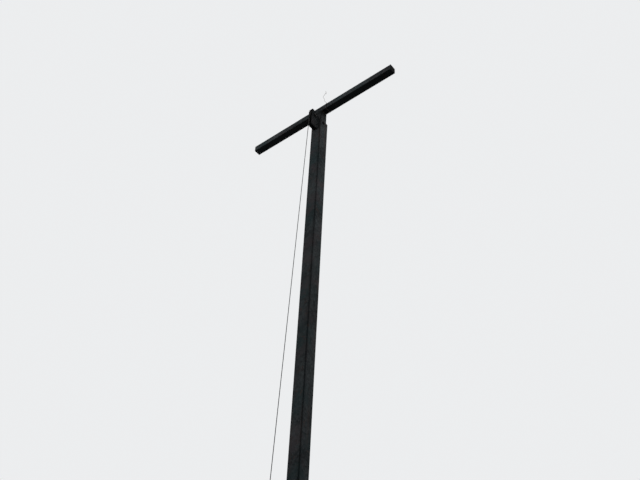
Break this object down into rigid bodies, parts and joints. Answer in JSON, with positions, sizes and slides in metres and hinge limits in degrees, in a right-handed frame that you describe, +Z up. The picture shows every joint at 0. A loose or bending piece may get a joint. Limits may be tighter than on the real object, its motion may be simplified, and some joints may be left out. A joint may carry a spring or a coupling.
{
  "type": "telescopic light mast",
  "caption": "Square steel mast with a telescoping inner tube and a bare crossbar for lamps, raised by a wire rope over a top sheave from a hand winch.",
  "frame": {"origin": "centre of the base plate's underside", "axes": "+Z up, +X along the crossbar to the right, -Y is the front with the rope, sheave and winch"},
  "size_m": [1.213, 0.455, 6.3332],
  "materials": {
    "mast_steel": "weathered dark grey, matt, finely mottled",
    "top_steel": "weathered dark grey, matt",
    "bracket_steel": "weathered grey plate",
    "sheave_iron": "dark, groove polished by the rope",
    "rope_wire": "dull greased strands",
    "bolt_zinc": "dull zinc",
    "guide_plastic": "black slide pads",
    "winch_paint": "worn grey paint",
    "gear_iron": "dark greased teeth",
    "grip_plastic": "black grip",
    "binding_iron": "thin rusty wire"
  },
  "bodies": {
    "outer_mast": {"base_plate": "mast_steel", "gusset_back": "mast_steel", "gusset_left": "mast_steel", "gusset_front": "mast_steel", "gusset_right": "mast_steel", "outer_tube": "mast_steel", "sheave_cheek_left": "bracket_steel", "sheave_cheek_right": "bracket_steel", "sheave_strap": "bracket_steel", "winch_bracket": "bracket_steel", "lifting_rope": "rope_wire", "rope_fall": "rope_wire", "winch_rope_coil": "rope_wire", "stop_bolt": "bolt_zinc", "stop_bolt_nut": "bolt_zinc", "sheave_pin": "bolt_zinc", "sheave_pin_nut": "bolt_zinc", "winch_drum_shaft": "bolt_zinc", "winch_pinion_shaft": "bolt_zinc", "guide_pad_left": "guide_plastic", "guide_pad_right": "guide_plastic", "guide_pad_front_left": "guide_plastic", "guide_pad_front_right": "guide_plastic", "guide_strip_back": "guide_plastic", "winch_frame": "winch_paint", "winch_drum": "winch_paint", "winch_crank": "winch_paint", "winch_gear": "gear_iron", "winch_pinion": "gear_iron", "winch_ratchet": "gear_iron", "winch_pawl": "gear_iron", "winch_grip": "grip_plastic"},
    "sheave": {"sheave": "sheave_iron"},
    "top_section": {"inner_tube": "top_steel", "foot_shoe": "top_steel", "rope_anchor": "bolt_zinc", "crossbar": "top_steel", "end_cap_left": "top_steel", "end_cap_right": "top_steel", "binding_wire": "binding_iron"}
  },
  "joints": [
    {"name": "mast_slide", "type": "slide", "parent": "outer_mast", "child": "top_section", "axis": [0, 0, 1], "range_m": [0, 5], "deforming": ["rope_fall"]},
    {"name": "sheave_spin", "type": "hinge", "parent": "outer_mast", "child": "sheave", "pos_m": [0, -0.072, 6.034], "axis": [1, 0, 0], "continuous": true}
  ],
  "couplings": [
    {"joint": "sheave_spin", "follows": "mast_slide", "rad_per_m": 25.974}
  ]
}
